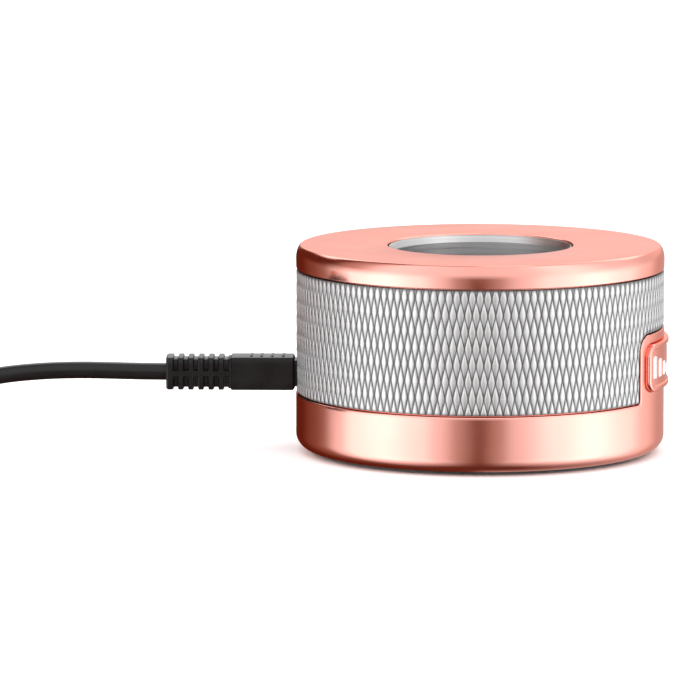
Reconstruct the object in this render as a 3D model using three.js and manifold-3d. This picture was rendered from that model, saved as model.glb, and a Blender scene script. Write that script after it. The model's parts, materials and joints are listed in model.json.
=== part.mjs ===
// A round charging base for a cordless hair trimmer, with the power lead that plugs into its back.
// Millimetres, +Z up. The origin is on the table under the centre of the base. The badge faces -Y and
// the lead leaves along +Y.
import * as THREE from "three";
import { mergeVertices } from "three/addons/utils/BufferGeometryUtils.js";
import Module from "manifold-3d";

const wasm = await Module();
wasm.setup();

// ---------- driving dimensions ----------
const GAP = 0.3; // between neighbouring pieces
const OUTER_R = 45; // cap, band and body outside
const OUTER_SIDES = 52; // facets round the outside
const TOTAL_H = 50.6;
const SHELL_BOTTOM = 0.8; // the rubber feet hold the shell this far off the table
const BAND_BOTTOM = 14.4;
const BAND_TOP = 45.0;
const SLEEVE_R = 43.5; // the part of the body that the band is wrapped on
const SLEEVE_TOP = 46.5;
const SHELL_INNER_R = 42;
const BASE_CORNER_R = 3.7;
const CAP_SHOULDER = { across: 1.9, up: 3.6, reach: 3.26 }; // the cap's rounded shoulder
const CAP_UNDERSIDE = 49;
const HOLE_R = 22.6; // the hole in the cap

const CUP_OUTER_R = 22.3;
const CUP_INNER_R = 21.3;
const CUP_TOP = 50.3;
const CUP_FLOOR = 17;
const CUP_BOTTOM = 15.8;
const CUP_OPENING_R = 12;

const PLATE_BOTTOM = 10.5; // the chassis plate
const PLATE_TOP = 12.5;
const FLANGE_BOTTOM = 39.7; // the chassis flange under the cap
const FLANGE_TOP = 41.7;
const POST_RING_R = 35;

const PANEL_HALF_W = 22.8; // the raised front panel that carries the badge
const PANEL_TOP = 30.9;
const PANEL_CORNER_R = 4;
const BADGE_HALF_W = 20.3;
const BADGE_BOTTOM = 16.9;
const BADGE_TOP = 28.5;
const BADGE_CORNER_R = 3;
const BADGE_BACK_R = 44.6;
const BADGE_FIELD_R = 45.6;
const BADGE_RIM_R = 46.15;
const BADGE_RIM_W = 1.2;

const CONTACT_X = 6.5; // each spring contact from the centre
const CONTACT_TRAVEL = 1.6;
const BLOCK_TOP = 21;

const INLET_Z = 19.05; // height of the power inlet
const INLET_HALF = 4.3; // half of the inlet's mouth, outside
const PLUG_HALF = 4.15; // half of the square plug
const NOSE_HALF = 3.3; // half of the square nose that enters the inlet
const PIN_X = 1.7; // each power pin from the centre
const PLUG_START = 45.3;
const PLUG_END = 61.1;
const RELIEF_END = 76.7;

const CORD_R = 2.1;
const COIL_CENTRE = new THREE.Vector3(0, 188, 0);
const COIL_COLUMNS = 3; // turns side by side
const COIL_LAYERS = 4; // turns on top of each other
const COIL_PITCH = 4.2;
const COIL_INNER_TURN_R = 19.4;
const TIE_T = 0.6;

const ADAPTER = { x: 27.8, halfW: 18, y0: 226, y1: 280, top: 26, split: 14, wall: 2, z: 15.3 };
const BLADE_SPACING = 12.7;

// ---------- materials ----------
const finish = (color, roughness, metalness) =>
  new THREE.MeshStandardMaterial({ color, roughness, metalness });
const MATERIAL = {
  roseGold: finish(0xe6a596, 0.25, 1),
  silver: finish(0xd6d6d8, 0.35, 1),
  steel: finish(0x9a9a9c, 0.35, 1),
  blackPlastic: finish(0x1a1a1b, 0.5, 0),
  blackRubber: finish(0x151515, 0.8, 0),
  contactMetal: finish(0xd9b56a, 0.25, 1),
  springSteel: finish(0xb9bbc0, 0.3, 1),
  circuitGreen: finish(0x1f5a38, 0.5, 0),
  cordBlack: finish(0x1c1c1d, 0.55, 0),
  wireRed: finish(0xa81f1c, 0.5, 0),
  wireBlack: finish(0x111111, 0.5, 0),
  copper: finish(0xb06a3c, 0.4, 1),
};

// ---------- geometry helpers ----------
// A closed three.js geometry as a manifold-3d solid.
function solid(geometry) {
  const bare = geometry.index ? geometry.toNonIndexed() : geometry;
  const onlyPosition = new THREE.BufferGeometry();
  onlyPosition.setAttribute("position", bare.getAttribute("position"));
  const merged = mergeVertices(onlyPosition, 1e-4);
  const vertProperties = merged.attributes.position.array;
  const triVerts = new Uint32Array(merged.index.array);
  const made = new wasm.Manifold(new wasm.Mesh({ numProp: 3, vertProperties, triVerts }));
  if (made.volume() > 0) return made;
  const turned = Uint32Array.from(triVerts, (_, i) => triVerts[i - (i % 3) + 2 - (i % 3)]);
  return new wasm.Manifold(new wasm.Mesh({ numProp: 3, vertProperties, triVerts: turned }));
}

// A manifold-3d solid as a three.js geometry.
function geometryOf(manifold) {
  const { numProp, vertProperties, triVerts, numVert } = manifold.getMesh();
  const position = new Float32Array(numVert * 3);
  for (let i = 0; i < numVert; i++) {
    position.set(vertProperties.subarray(i * numProp, i * numProp + 3), i * 3);
  }
  const geometry = new THREE.BufferGeometry();
  geometry.setAttribute("position", new THREE.BufferAttribute(position, 3));
  geometry.setIndex(new THREE.BufferAttribute(triVerts, 1));
  geometry.computeVertexNormals();
  return geometry;
}

// A profile of [radius, height] points turned about the Z axis.
function revolve(profile, segments) {
  const onAxis = profile[0][0] === 0;
  const points = (onAxis ? profile : [...profile, profile[0]]).map((p) => new THREE.Vector2(...p));
  return solid(new THREE.LatheGeometry(points, segments).rotateX(Math.PI / 2));
}

// Points of a round corner, from one angle to another, in degrees.
function corner(r, z, radius, from, to, steps = 4) {
  return Array.from({ length: steps + 1 }, (_, i) => {
    const a = THREE.MathUtils.degToRad(from + ((to - from) * i) / steps);
    return [r + radius * Math.cos(a), z + radius * Math.sin(a)];
  });
}

const ring = (r0, r1, z0, z1, segments) =>
  revolve([[r0, z0], [r1, z0], [r1, z1], [r0, z1]], segments);
const disc = (r, z0, z1, segments) => revolve([[0, z0], [r, z0], [r, z1], [0, z1]], segments);

function box(x0, x1, y0, y1, z0, z1) {
  const geometry = new THREE.BoxGeometry(x1 - x0, y1 - y0, z1 - z0);
  return solid(geometry.translate((x0 + x1) / 2, (y0 + y1) / 2, (z0 + z1) / 2));
}

// A rectangle with round corners, as a three.js shape.
function roundRectangle(x0, x1, y0, y1, r) {
  const shape = new THREE.Shape();
  shape.moveTo(x0 + r, y0);
  shape.lineTo(x1 - r, y0);
  shape.absarc(x1 - r, y0 + r, r, -Math.PI / 2, 0, false);
  shape.lineTo(x1, y1 - r);
  shape.absarc(x1 - r, y1 - r, r, 0, Math.PI / 2, false);
  shape.lineTo(x0 + r, y1);
  shape.absarc(x0 + r, y1 - r, r, Math.PI / 2, Math.PI, false);
  shape.lineTo(x0, y0 + r);
  shape.absarc(x0 + r, y0 + r, r, Math.PI, Math.PI * 1.5, false);
  return shape;
}

// A shape drawn in X and Z, pushed along Y from y0 to y1.
function pushY(shape, y0, y1, curveSegments = 3) {
  const options = { depth: y1 - y0, bevelEnabled: false, curveSegments };
  const geometry = new THREE.ExtrudeGeometry(shape, options);
  return solid(geometry.rotateX(Math.PI / 2).translate(0, y1, 0));
}

// A cylinder along Y.
function rodY(x, z, r, y0, y1, sides) {
  return disc(r, 0, y1 - y0, sides).rotate([-90, 0, 0]).translate([x, y0, z]);
}

// A round section along a curve.
function tube(curve, r, steps, sides) {
  const shape = new THREE.Shape();
  shape.absarc(0, 0, r, 0, Math.PI * 2, false);
  const options = { steps, bevelEnabled: false, extrudePath: curve, curveSegments: sides / 2 };
  return solid(new THREE.ExtrudeGeometry(shape, options));
}

const part = new THREE.Group();

function piece(name, shape, material) {
  const mesh = new THREE.Mesh(geometryOf(shape), material);
  mesh.name = name;
  part.add(mesh);
}

function around(count, firstDegrees, radius, make) {
  for (let i = 0; i < count; i++) {
    const a = THREE.MathUtils.degToRad(firstDegrees + (360 * i) / count);
    make(radius * Math.cos(a), radius * Math.sin(a), i + 1);
  }
}

// ---------- outside of the base ----------
const CAP_SCREW = { count: 3, first: 90, ring: 28.5, bore: 1.3 };
const BASE_SCREW = { count: 4, first: 45, bore: 1.3 };

// The front panel's outline, seen from the front, grown by some clearance.
function panelBlock(grow) {
  const low = BAND_BOTTOM - 2 * PANEL_CORNER_R;
  const outline = roundRectangle(
    -PANEL_HALF_W - grow, PANEL_HALF_W + grow, low, PANEL_TOP + grow, PANEL_CORNER_R + grow);
  return pushY(outline, -OUTER_R - 5, -30);
}

function badgeBlock(grow) {
  const outline = roundRectangle(
    -BADGE_HALF_W - grow, BADGE_HALF_W + grow, BADGE_BOTTOM - grow, BADGE_TOP + grow,
    BADGE_CORNER_R + grow);
  return pushY(outline, -OUTER_R - 5, -30);
}

const inletWindow = () => {
  const half = INLET_HALF + GAP;
  return box(-half, half, 38, 50, INLET_Z - half, INLET_Z + half);
};

function topCap() {
  const skirtInner = SLEEVE_R + GAP;
  const { across, up, reach } = CAP_SHOULDER;
  const edge = corner(0, 0, 1, 0, 60).map(([x, z]) => [OUTER_R - across * (1 - x), TOTAL_H - reach + up * z]);
  let cap = revolve([
    [HOLE_R, CAP_UNDERSIDE], [26, CAP_UNDERSIDE], [26, FLANGE_TOP + GAP], [31, FLANGE_TOP + GAP],
    [31, CAP_UNDERSIDE], [skirtInner, CAP_UNDERSIDE], [skirtInner, BAND_TOP], [OUTER_R, BAND_TOP],
    ...edge, [43.85, TOTAL_H], [HOLE_R + 0.4, TOTAL_H], [HOLE_R, TOTAL_H - 0.4],
  ], OUTER_SIDES);
  around(CAP_SCREW.count, CAP_SCREW.first, CAP_SCREW.ring, (x, y) => {
    cap = cap.subtract(disc(CAP_SCREW.bore, FLANGE_TOP, 47, 10).translate([x, y, 0]));
  });
  return cap;
}

function lowerShell() {
  const foot = corner(OUTER_R - BASE_CORNER_R, SHELL_BOTTOM + BASE_CORNER_R, BASE_CORNER_R, -90, 0);
  const wall = revolve([
    ...foot, [OUTER_R, BAND_BOTTOM], [SLEEVE_R, BAND_BOTTOM], [SLEEVE_R, SLEEVE_TOP],
    [SHELL_INNER_R, SLEEVE_TOP], [SHELL_INNER_R, 5.5], [38.5, 5.5], [38.5, 3.5], [41.3, 3.5],
  ], OUTER_SIDES);
  const panelRing = ring(SLEEVE_R - 0.5, OUTER_R, BAND_BOTTOM - 0.5, PANEL_TOP, OUTER_SIDES);
  const panel = panelRing.intersect(panelBlock(0));
  const recess = ring(BADGE_BACK_R - GAP, OUTER_R + 3, 10, 40, OUTER_SIDES).intersect(badgeBlock(GAP));
  return wall.add(panel).subtract(recess).subtract(inletWindow());
}

function gripBand() {
  const band = ring(SLEEVE_R + GAP, OUTER_R, BAND_BOTTOM + GAP, BAND_TOP - GAP, OUTER_SIDES);
  return band.subtract(panelBlock(GAP)).subtract(inletWindow());
}

function badge() {
  const plate = ring(BADGE_BACK_R, BADGE_RIM_R, 10, 40, OUTER_SIDES).intersect(badgeBlock(0));
  const middle = badgeBlock(-BADGE_RIM_W);
  const field = ring(BADGE_FIELD_R, BADGE_RIM_R + 1, 10, 40, OUTER_SIDES).intersect(middle);
  return plate.subtract(field);
}

function wellCup() {
  return revolve([
    [CUP_OPENING_R, CUP_BOTTOM], [CUP_OUTER_R, CUP_BOTTOM], [CUP_OUTER_R, CUP_TOP],
    [CUP_INNER_R + 0.8, CUP_TOP], [CUP_INNER_R + 0.3, CUP_TOP - 0.8], [CUP_INNER_R, CUP_TOP - 1.6],
    [CUP_INNER_R, CUP_FLOOR], [CUP_OPENING_R, CUP_FLOOR],
  ], 48);
}

piece("top_cap", topCap(), MATERIAL.roseGold);
piece("well_cup", wellCup(), MATERIAL.steel);
piece("grip_band", gripBand(), MATERIAL.silver);
piece("lower_shell", lowerShell(), MATERIAL.roseGold);
piece("badge", badge(), MATERIAL.roseGold);

// ---------- inside of the base ----------
const FOOT = { count: 4, first: 0, ring: 33, r: 5, recess: 1.9 };

function chassis() {
  let frame = revolve([
    [16.5, PLATE_BOTTOM], [39, PLATE_BOTTOM], [39, 5.8], [41.7, 5.8], [41.7, PLATE_TOP],
    [24.2, PLATE_TOP], [24.2, FLANGE_BOTTOM], [31, FLANGE_BOTTOM], [31, FLANGE_TOP],
    [CUP_OUTER_R + GAP, FLANGE_TOP], [CUP_OUTER_R + GAP, CUP_BOTTOM - GAP], [16.5, CUP_BOTTOM - GAP],
  ], 40);
  around(BASE_SCREW.count, BASE_SCREW.first, POST_RING_R, (x, y) => {
    frame = frame.add(disc(3.2, 3.5, PLATE_BOTTOM + 0.5, 12).translate([x, y, 0]));
    frame = frame.subtract(disc(BASE_SCREW.bore, 3, PLATE_BOTTOM + 1, 10).translate([x, y, 0]));
  });
  around(CAP_SCREW.count, CAP_SCREW.first, CAP_SCREW.ring, (x, y) => {
    frame = frame.subtract(disc(CAP_SCREW.bore, 39, 42, 10).translate([x, y, 0]));
  });
  [-PIN_X, PIN_X].forEach((x) => {
    frame = frame.subtract(disc(1, 10, 13, 10).translate([x, 26.4, 0]));
  });
  [-19, 19].forEach((x) => {
    frame = frame.subtract(disc(1, 10, 12, 10).translate([x, 0, 0]));
  });
  return frame;
}

function basePlate() {
  let plate = disc(41, SHELL_BOTTOM, 3.2, 40);
  around(FOOT.count, FOOT.first, FOOT.ring, (x, y) => {
    plate = plate.subtract(disc(FOOT.r + GAP, 0, FOOT.recess, 20).translate([x, y, 0]));
  });
  around(BASE_SCREW.count, BASE_SCREW.first, POST_RING_R, (x, y) => {
    plate = plate.subtract(disc(2.8, 0, 2.4, 12).translate([x, y, 0]));
    plate = plate.subtract(disc(BASE_SCREW.bore, 0, 4, 10).translate([x, y, 0]));
  });
  return plate;
}

// A pan-head screw standing on its head, with a cross slot in the head's lower face.
function screw(headR, headH, shankR, length) {
  const body = revolve([[0, 0], [headR * 0.8, 0], [headR, headH * 0.4], [headR, headH], [shankR, headH],
    [shankR, headH + length - shankR], [0, headH + length]], 10);
  const slot = headR * 0.55;
  const w = headR * 0.12;
  const cross = box(-slot, slot, -w, w, -1, headH * 0.5).add(box(-w, w, -slot, slot, -1, headH * 0.5));
  return body.subtract(cross);
}

function circuitBoard() {
  let board = disc(24, 8.4, 10, 36).add(box(-6, 6, 15, 28.5, 8.4, 10));
  [-PIN_X, PIN_X].forEach((x) => {
    board = board.subtract(disc(0.8, 8, 11, 10).translate([x, 26.4, 0]));
  });
  [-CONTACT_X, CONTACT_X].forEach((x) => {
    board = board.subtract(disc(0.9, 8, 11, 10).translate([x, 0, 0]));
  });
  [-19, 19].forEach((x) => {
    board = board.subtract(disc(1, 8, 11, 10).translate([x, 0, 0]));
  });
  return board;
}

function contactBlock() {
  let block = revolve([[0, 10.3], [15.5, 10.3], [15.5, 15.4], [CUP_OPENING_R - GAP, 15.4],
    [CUP_OPENING_R - GAP, BLOCK_TOP - 1], [CUP_OPENING_R - GAP - 1, BLOCK_TOP], [0, BLOCK_TOP]], 36);
  [-CONTACT_X, CONTACT_X].forEach((x) => {
    block = block.subtract(disc(2.9, 10, 22, 20).translate([x, 0, 0]));
  });
  return block;
}

piece("chassis", chassis(), MATERIAL.blackPlastic);
piece("contact_block", contactBlock(), MATERIAL.blackPlastic);
piece("circuit_board", circuitBoard(), MATERIAL.circuitGreen);
piece("ballast_ring", ring(19, 30.5, 3.5, 6.8, 40), MATERIAL.steel);
piece("base_plate", basePlate(), MATERIAL.blackPlastic);
around(FOOT.count, FOOT.first, FOOT.ring, (x, y, n) => {
  const foot = revolve([[0, 0], [FOOT.r - 0.5, 0], [FOOT.r, 0.5], [FOOT.r, FOOT.recess - GAP],
    [0, FOOT.recess - GAP]], 20);
  piece("foot_" + n, foot.translate([x, y, 0]), MATERIAL.blackRubber);
});
around(BASE_SCREW.count, BASE_SCREW.first, POST_RING_R, (x, y, n) => {
  piece("base_screw_" + n, screw(2.4, 1.1, 1, 8).translate([x, y, 1]), MATERIAL.springSteel);
});
around(CAP_SCREW.count, CAP_SCREW.first, CAP_SCREW.ring, (x, y, n) => {
  piece("cap_screw_" + n, screw(2.2, 1.6, 1, 7).translate([x, y, 37.8]), MATERIAL.springSteel);
});
[-19, 19].forEach((x, i) => {
  piece("board_screw_" + (i + 1), screw(1.7, 1, 0.7, 3.4).translate([x, 0, 7.1]), MATERIAL.springSteel);
});

// Each sprung contact: a barrel in the block, a plunger whose collar stops under the barrel's lip,
// and a coil spring between the barrel's floor and the collar.
const contactBarrel = () =>
  revolve([[0, 7.6], [0.6, 7.6], [0.6, 10.6], [2.6, 10.6], [2.6, 20.6], [1.6, 20.6], [1.6, 20],
    [2.05, 20], [2.05, 11.4], [0, 11.4]], 16);
const contactPin = () =>
  revolve([[0, 16.2], [0.8, 16.2], [0.8, 17.9], [1.75, 17.9], [1.75, 19.7], [1.3, 19.7],
    ...corner(0, 21.9, 1.3, 0, 90).slice(0, -1), [0, 23.2]], 16);

class SpringCurve extends THREE.Curve {
  constructor(radius, z0, z1, turns) {
    super();
    Object.assign(this, { radius, z0, z1, turns });
  }
  getPoint(t, target = new THREE.Vector3()) {
    const a = t * this.turns * Math.PI * 2;
    const z = THREE.MathUtils.lerp(this.z0, this.z1, t);
    return target.set(this.radius * Math.cos(a), this.radius * Math.sin(a), z);
  }
}
const contactSpring = () => tube(new SpringCurve(1.35, 11.95, 17.35, 5), 0.24, 40, 6);

[["left", -CONTACT_X], ["right", CONTACT_X]].forEach(([side, x]) => {
  piece("contact_barrel_" + side, contactBarrel().translate([x, 0, 0]), MATERIAL.contactMetal);
  piece("contact_pin_" + side, contactPin().translate([x, 0, 0]), MATERIAL.contactMetal);
  piece("contact_spring_" + side, contactSpring().translate([x, 0, 0]), MATERIAL.springSteel);
});

// Parts on the underside of the board.
piece("smoothing_capacitor", rodY(-7, 5.9, 2, 5, 13, 16), MATERIAL.springSteel);
piece("charge_controller", box(-3, 3, -9, -3, 6.9, 8.1), MATERIAL.blackPlastic);
piece("choke", disc(3, 5.2, 8.1, 20).translate([8, 9, 0]), MATERIAL.copper);

// The power inlet, its two pins and the wires to the board.
function inletSocket() {
  const mouth = INLET_HALF;
  const body = box(-5.5, 5.5, 28.6, 41.2, PLATE_TOP + GAP, INLET_Z + 5.5);
  const spout = box(-mouth, mouth, 41, 44.7, INLET_Z - mouth, INLET_Z + mouth);
  const half = NOSE_HALF + GAP;
  const cavity = box(-half, half, 33.5, 46, INLET_Z - half, INLET_Z + half);
  let socket = body.add(spout).subtract(cavity);
  [-PIN_X, PIN_X].forEach((x) => {
    socket = socket.subtract(rodY(x, INLET_Z, 0.95, 28, 34, 12));
  });
  return socket;
}

function wire(x) {
  const points = [[x, 27.6, INLET_Z], [x, 26.7, INLET_Z - 0.5], [x, 26.4, INLET_Z - 1.8],
    [x, 26.4, 15], [x, 26.4, 9]];
  return tube(new THREE.CatmullRomCurve3(points.map((p) => new THREE.Vector3(...p))), 0.5, 14, 6);
}

piece("inlet_socket", inletSocket(), MATERIAL.blackPlastic);
[["left", -PIN_X, MATERIAL.wireRed], ["right", PIN_X, MATERIAL.wireBlack]].forEach(([side, x, colour]) => {
  piece("inlet_pin_" + side, rodY(x, INLET_Z, 0.65, 28, 42, 12), MATERIAL.contactMetal);
  piece("inlet_wire_" + side, wire(x), colour);
});

// ---------- the lead ----------
const squareAt = (half, y0, y1, r) =>
  pushY(roundRectangle(-half, half, INLET_Z - half, INLET_Z + half, r), y0, y1, 1);

function plugBody() {
  let plug = squareAt(PLUG_HALF, PLUG_START, PLUG_END, 0.7).add(squareAt(NOSE_HALF, 34.6, PLUG_START + 1, 0.5));
  [-PIN_X, PIN_X].forEach((x) => {
    plug = plug.subtract(rodY(x, INLET_Z, 1.4, 30, 43.5, 12));
  });
  return plug;
}

const plugContact = (x) => {
  const outside = rodY(x, INLET_Z, 1.15, 35, 43.2, 12);
  return outside.subtract(rodY(x, INLET_Z, 0.9, 34, 42.6, 12));
};

// A flexible sleeve with grooves cut in from its sides, above and below a spine, and round its edges.
function plugRelief() {
  const start = PLUG_END + GAP;
  const pitch = 2.47;
  const groove = 1.1;
  const core = { across: 2.75, up: 3.6 };
  let sleeve = squareAt(PLUG_HALF, start, RELIEF_END, 1.1);
  for (let i = 0; i < 6; i++) {
    const y = start + 0.1 + i * pitch;
    const outline = roundRectangle(-core.across, core.across, INLET_Z - core.up, INLET_Z + core.up, 0.9);
    const band = squareAt(PLUG_HALF + 1, y, y + groove, 0.4).subtract(pushY(outline, y - 1, y + 3, 1));
    const spine = box(-6, 6, y - 1, y + 3, INLET_Z - 0.85, INLET_Z + 0.85);
    sleeve = sleeve.subtract(band.subtract(spine));
  }
  return sleeve;
}

// The lead's free run from the plug to the coil, chosen by hand.
const LEAD_ROUTE = [
  [0, 77.2, 19.05], [0, 83, 19.1], [0, 90, 19.25], [0, 98, 19.35], [0, 107, 19.05], [0.3, 116.6, 18.05],
  [1.6, 126, 15.9], [4.6, 135, 12.8], [9.2, 143.5, 9.4], [14.8, 151.5, 6.3], [20.4, 159.5, 4.1], [25.3, 167.2, 2.9],
];

function coilEnvelope() {
  const r0 = COIL_INNER_TURN_R - CORD_R - 0.2;
  const r1 = COIL_INNER_TURN_R + (COIL_COLUMNS - 1) * COIL_PITCH + CORD_R + 0.2;
  const z0 = TIE_T + GAP;
  const z1 = z0 + (COIL_LAYERS - 1) * COIL_PITCH + 2 * CORD_R;
  return { r0, r1, z0, z1 };
}

function cordCoil() {
  const { r0, r1, z0, z1 } = coilEnvelope();
  const c = 1.4;
  const profile = [[r0 + c, z0], [r1 - c, z0], [r1, z0 + c], [r1, z1 - c], [r1 - c, z1], [r0 + c, z1],
    [r0, z1 - c], [r0, z0 + c]];
  return revolve(profile, 32).translate(COIL_CENTRE.toArray());
}

// A flat strap round the bundle of turns, on the coil's far left.
function cordTie() {
  const { r0, r1, z0, z1 } = coilEnvelope();
  const grow = GAP + TIE_T;
  const width = 4;
  const inside = Math.sqrt(r0 * r0 - width * width);
  const outer = box(-r1 - grow, -inside + grow, -width, width, z0 - grow, z1 + grow);
  const inner = box(-r1 - GAP, -inside + GAP, -width - 1, width + 1, z0 - GAP, z1 + GAP);
  return outer.subtract(inner).translate(COIL_CENTRE.toArray());
}

piece("plug_body", plugBody(), MATERIAL.cordBlack);
piece("plug_contact_left", plugContact(-PIN_X), MATERIAL.contactMetal);
piece("plug_contact_right", plugContact(PIN_X), MATERIAL.contactMetal);
piece("plug_strain_relief", plugRelief(), MATERIAL.cordBlack);
const leadCurve = new THREE.CatmullRomCurve3(LEAD_ROUTE.map((p) => new THREE.Vector3(...p)));
piece("cord_lead", tube(leadCurve, CORD_R, 24, 8), MATERIAL.cordBlack);
piece("cord_coil", cordCoil(), MATERIAL.cordBlack);
piece("cord_tie", cordTie(), MATERIAL.blackRubber);

// ---------- the wall adapter at the far end ----------
function adapterShell(z0, z1, openZ0, openZ1) {
  const { x, halfW, y0, y1, wall } = ADAPTER;
  const outline = (grow, r) => {
    const shape = roundRectangle(x - halfW + grow, x + halfW - grow, y0 + grow, y1 - grow, r);
    const options = (depth) => ({ depth, bevelEnabled: false, curveSegments: 3 });
    return (a, b) => solid(new THREE.ExtrudeGeometry(shape, options(b - a)).translate(0, 0, a));
  };
  return outline(0, 5)(z0, z1).subtract(outline(wall, 3)(openZ0, openZ1));
}

const reliefHole = () => rodY(ADAPTER.x, ADAPTER.z, 3.6, ADAPTER.y0 - 2, ADAPTER.y0 + 4, 16);
const BLADES = [["left", -BLADE_SPACING / 2], ["right", BLADE_SPACING / 2]];
const BLADE_Y = 243;
const bladeSlot = (dx, grow) =>
  box(ADAPTER.x + dx - 0.75 - grow, ADAPTER.x + dx + 0.75 + grow, BLADE_Y - 3.2 - grow, BLADE_Y + 3.2 + grow,
    ADAPTER.top - 4, 43);

function adapterFront() {
  const { split, wall, top } = ADAPTER;
  let shell = adapterShell(split + GAP, top, split, top - wall).subtract(reliefHole());
  BLADES.forEach(([, dx]) => {
    shell = shell.subtract(bladeSlot(dx, GAP));
  });
  return shell;
}

const adapterBack = () =>
  adapterShell(0, ADAPTER.split, ADAPTER.wall, ADAPTER.split + 1).subtract(reliefHole());

function adapterRelief() {
  const { x, y0, z } = ADAPTER;
  const start = y0 - 20;
  const profile = [[0, 0], [2.9, 0], [3.2, 8], [4.4, 19.7], [4.4, 20 - GAP], [3.3, 20 - GAP], [3.3, 22.5],
    [4.4, 22.5], [4.4, 24], [0, 24]];
  return revolve(profile, 20).rotate([-90, 0, 0]).translate([x, start, z]);
}

piece("adapter_front_shell", adapterFront(), MATERIAL.blackPlastic);
piece("adapter_back_shell", adapterBack(), MATERIAL.blackPlastic);
piece("adapter_strain_relief", adapterRelief(), MATERIAL.cordBlack);
BLADES.forEach(([side, dx]) => piece("adapter_blade_" + side, bladeSlot(dx, 0), MATERIAL.springSteel));
const { x: ax } = ADAPTER;
piece("adapter_board", box(ax - 14, ax + 14, 232, 276, 4, 5.6), MATERIAL.circuitGreen);
piece("adapter_transformer", box(ax - 9, ax + 9, 252, 272, 5.9, 21), MATERIAL.copper);

export default part;
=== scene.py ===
# %% [markdown]
# # A charging base for a cordless hair trimmer
# A round metal base stands on a bathroom shelf. The trimmer drops into a deep steel well, where
# two sprung pins touch the contacts in its foot. A thin black lead plugs into the back.
#
# The solids come from a CAD model, and this lesson gives them their looks. Every length below
# is in millimetres, the unit that such a base is drawn in, and `MM` turns it into Blender's
# metres.

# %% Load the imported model
import json
import math

import bmesh
import bpy
import numpy as np
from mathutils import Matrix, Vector


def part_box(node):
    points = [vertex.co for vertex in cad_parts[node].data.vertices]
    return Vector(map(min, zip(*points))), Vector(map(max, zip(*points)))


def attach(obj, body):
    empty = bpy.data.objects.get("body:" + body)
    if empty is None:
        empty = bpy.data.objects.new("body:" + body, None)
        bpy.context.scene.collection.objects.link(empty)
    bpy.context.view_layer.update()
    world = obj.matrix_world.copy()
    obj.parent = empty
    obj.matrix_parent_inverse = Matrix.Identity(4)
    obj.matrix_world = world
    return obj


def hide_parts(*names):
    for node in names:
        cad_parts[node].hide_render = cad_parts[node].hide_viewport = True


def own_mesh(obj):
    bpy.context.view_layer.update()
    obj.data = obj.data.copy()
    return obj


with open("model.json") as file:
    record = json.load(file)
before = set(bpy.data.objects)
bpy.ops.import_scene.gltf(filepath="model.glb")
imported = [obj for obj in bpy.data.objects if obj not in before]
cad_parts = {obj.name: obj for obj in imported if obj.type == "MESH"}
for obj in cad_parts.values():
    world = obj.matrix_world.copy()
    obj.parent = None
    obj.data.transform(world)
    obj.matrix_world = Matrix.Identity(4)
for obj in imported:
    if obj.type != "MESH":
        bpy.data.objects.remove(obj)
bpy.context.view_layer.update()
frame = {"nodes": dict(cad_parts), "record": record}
MM = 0.001


# %% [markdown]
# The base is described by a handful of sizes. They are read off the CAD pieces where a piece
# shows them, so that the looks can never drift away from the solids.

# %% Sizes of the base
def low(node):
    return np.array(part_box(node)[0]) / MM


def high(node):
    return np.array(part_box(node)[1]) / MM


OUTER_R = high("grip_band")[0]
TOP = high("top_cap")[2]
CAP_BOTTOM = 45.0
BAND_LOW, BAND_HIGH = low("grip_band")[2], high("grip_band")[2]
SHELL_LOW = low("lower_shell")[2]
SHELL_SHOULDER = 14.4
SLEEVE_R = 43.5
HOLE_R = 22.6
WELL_R = 21.3
PLUG_Z = 19.05
print("base: radius %.1f, height %.1f mm" % (OUTER_R, TOP))

# %% [markdown]
# ## The camera
# The base is seen from its left side, slightly from above, by a long lens that hardly tapers
# it. A long lens far away is the usual choice for a product, because near edges don't swell.
# The camera is aimed a little past the base, which leaves room for the lead on the other half
# of the picture.

# %% Place the camera
CAMERA_PLACE = Vector((-1.5, 0.0, 0.2284))
TURN, TILT = 0.0212, -0.1351

camera_data = bpy.data.cameras.new("camera")
camera_data.lens, camera_data.sensor_width = 318.2, 36
camera_data.clip_end = 20
camera = bpy.data.objects.new("camera", camera_data)
camera.location = CAMERA_PLACE
look = Vector((math.cos(TURN), math.sin(TURN), math.tan(TILT)))
camera.rotation_euler = look.to_track_quat("-Z", "Y").to_euler()
bpy.context.scene.collection.objects.link(camera)
bpy.context.scene.camera = camera
bpy.context.scene.view_settings.view_transform = "Standard"
print("camera looks along", [round(v, 3) for v in look])

# %% [markdown]
# ## The lead
# A charger's lead is two fine wires in one soft black jacket, about 4 mm thick and 1.8 m long.
# It leaves its plug level, sags to the shelf, and the rest is wound into a round coil behind
# the base.
#
# It could be drawn as a simulated rope, but a listed run with a coil made by a loop is exact: the
# turns lie one jacket apart in three columns and four layers, as they do in a bundle wound by hand.

# %% Route of the lead
LEAD_D = 4.2
LEAD_RUN = [
    (0, 76.2, PLUG_Z), (0, 77.2, PLUG_Z), (0, 83, 19.1), (0, 90, 19.25), (0, 98, 19.35),
    (0, 107, 19.05), (0.3, 116.6, 18.05), (1.6, 126, 15.9), (4.6, 135, 12.8), (9.2, 143.5, 9.4),
    (14.8, 151.5, 6.3), (20.4, 159.5, 4.1), (25.3, 167.2, 2.9),
]
COIL_CENTRE = (0, 188)
INNER_TURN_R = 19.4
COLUMNS, LAYERS = 3, 4
FIRST_Z = 0.9 + LEAD_D / 2
START_ANGLE, TURNS = math.radians(-27), 11.075
KNOTS_PER_TURN = 24
STEP_OVER_FROM = 0.88


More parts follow.
